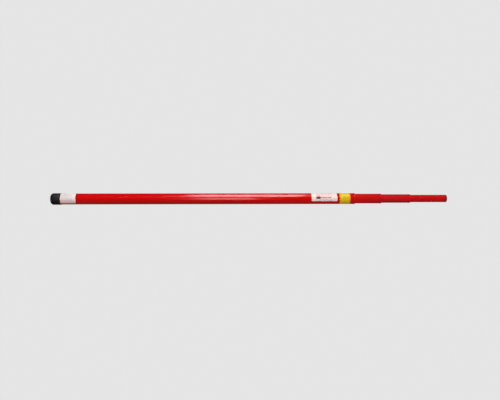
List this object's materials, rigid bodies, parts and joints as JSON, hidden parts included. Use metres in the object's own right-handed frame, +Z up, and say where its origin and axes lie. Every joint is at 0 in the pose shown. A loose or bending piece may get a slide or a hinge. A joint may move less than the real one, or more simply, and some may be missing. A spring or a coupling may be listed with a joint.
{
  "type": "roller extension pole",
  "caption": "Collapsed red telescopic pole for paint rollers, with a black butt cap, printed labels and a threaded tip socket.",
  "frame": {"origin": "bottom centre of the collapsed pole's bounding box, on the surface it lies on", "axes": "+X along the pole from the butt cap to the tip, +Z up, labels facing -Y and up"},
  "size_m": [1.38, 0.0398, 0.0398],
  "materials": {
    "red_lacquer": "gloss red lacquer over drawn aluminium tube",
    "red_plastic": "moulded red plastic",
    "crimson_plastic": "moulded dark red plastic",
    "black_vinyl": "soft satin vinyl",
    "dark_rubber": "matt rubber",
    "white_label": "printed vinyl film",
    "yellow_label": "printed vinyl film",
    "black_nylon": "moulded nylon",
    "natural_nylon": "moulded nylon",
    "zinc_steel": "zinc plated"
  },
  "bodies": {
    "outer_section": {"outer_tube": "red_lacquer", "butt_cap": "black_vinyl", "butt_bumper": "dark_rubber", "outer_mouth_bush": "red_plastic", "rating_label": "white_label", "product_label": "white_label", "caution_band": "yellow_label"},
    "second_sleeve": {"second_expander_sleeve": "natural_nylon"},
    "second_cone": {"second_cone_nut": "black_nylon"},
    "second_section": {"second_tube": "red_lacquer", "second_lock_plug": "black_nylon", "second_plug_pin": "zinc_steel", "second_lock_screw": "zinc_steel", "second_thrust_washer": "zinc_steel", "second_end_nut": "zinc_steel", "second_mouth_bush": "red_plastic"},
    "third_sleeve": {"third_expander_sleeve": "natural_nylon"},
    "third_cone": {"third_cone_nut": "black_nylon"},
    "third_section": {"third_tube": "red_lacquer", "third_lock_plug": "black_nylon", "third_plug_pin": "zinc_steel", "third_lock_screw": "zinc_steel", "third_thrust_washer": "zinc_steel", "third_end_nut": "zinc_steel", "third_mouth_bush": "red_plastic"},
    "tip_sleeve": {"tip_expander_sleeve": "natural_nylon"},
    "tip_cone": {"tip_cone_nut": "black_nylon"},
    "tip_section": {"tip_tube": "red_lacquer", "tip_lock_plug": "black_nylon", "tip_plug_pin": "zinc_steel", "tip_lock_screw": "zinc_steel", "tip_thrust_washer": "zinc_steel", "tip_end_nut": "zinc_steel", "tip_ferrule": "red_lacquer", "tip_ring": "crimson_plastic", "tip_ferrule_pin": "zinc_steel"}
  },
  "joints": [
    {"name": "second_slide", "type": "slide", "parent": "outer_section", "child": "second_sleeve", "axis": [1, 0, 0], "range_m": [0, 0.9175]},
    {"name": "second_twist", "type": "hinge", "parent": "second_sleeve", "child": "second_section", "pos_m": [-0.6104, 0, 0.0199], "axis": [1, 0, 0], "range_deg": [0, 360]},
    {"name": "second_cone_slide", "type": "slide", "parent": "second_sleeve", "child": "second_cone", "axis": [-1, 0, 0], "range_m": [0, 0.003]},
    {"name": "third_slide", "type": "slide", "parent": "second_section", "child": "third_sleeve", "axis": [1, 0, 0], "range_m": [0, 0.935]},
    {"name": "third_twist", "type": "hinge", "parent": "third_sleeve", "child": "third_section", "pos_m": [-0.5339, 0, 0.0199], "axis": [1, 0, 0], "range_deg": [0, 360]},
    {"name": "third_cone_slide", "type": "slide", "parent": "third_sleeve", "child": "third_cone", "axis": [-1, 0, 0], "range_m": [0, 0.003]},
    {"name": "tip_slide", "type": "slide", "parent": "third_section", "child": "tip_sleeve", "axis": [1, 0, 0], "range_m": [0, 0.961]},
    {"name": "tip_twist", "type": "hinge", "parent": "tip_sleeve", "child": "tip_section", "pos_m": [-0.4574, 0, 0.0199], "axis": [1, 0, 0], "range_deg": [0, 360]},
    {"name": "tip_cone_slide", "type": "slide", "parent": "tip_sleeve", "child": "tip_cone", "axis": [-1, 0, 0], "range_m": [0, 0.003]}
  ],
  "couplings": [
    {"joint": "second_cone_slide", "follows": "second_twist", "m_per_rad": 0.000477},
    {"joint": "third_cone_slide", "follows": "third_twist", "m_per_rad": 0.000477},
    {"joint": "tip_cone_slide", "follows": "tip_twist", "m_per_rad": 0.000477}
  ]
}
